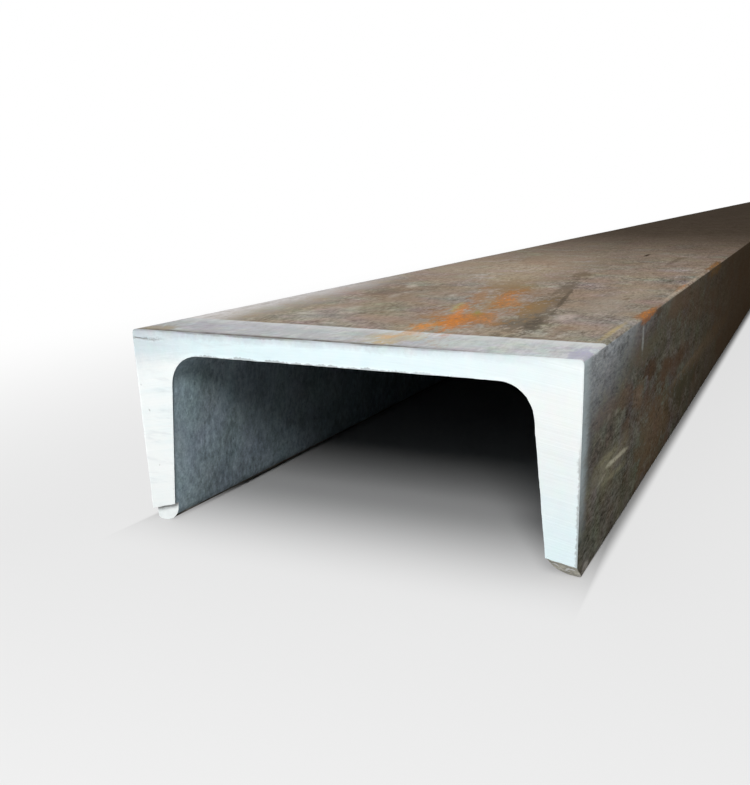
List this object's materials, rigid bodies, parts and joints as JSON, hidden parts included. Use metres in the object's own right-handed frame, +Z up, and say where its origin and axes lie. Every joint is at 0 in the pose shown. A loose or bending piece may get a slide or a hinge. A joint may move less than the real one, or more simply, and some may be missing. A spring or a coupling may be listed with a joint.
{
  "type": "c-channel",
  "caption": "Hot-rolled steel channel bar with tapered flanges and rounded toes, sawn square at both ends, lying on its toes with the web on top.",
  "frame": {"origin": "under the middle of the bar, halfway between its flanges, on the level of the flange toes", "axes": "+Y along the bar, away from the sawn end with the break-offs; +Z up through the web; +X across the web to the right flange"},
  "size_m": [0.12, 3, 0.053],
  "materials": {
    "mill_scale_steel": "hot-rolled mill scale with rust stains, sawn ends bright"
  },
  "bodies": {
    "root": {"channel_bar": "mill_scale_steel"}
  },
  "joints": []
}
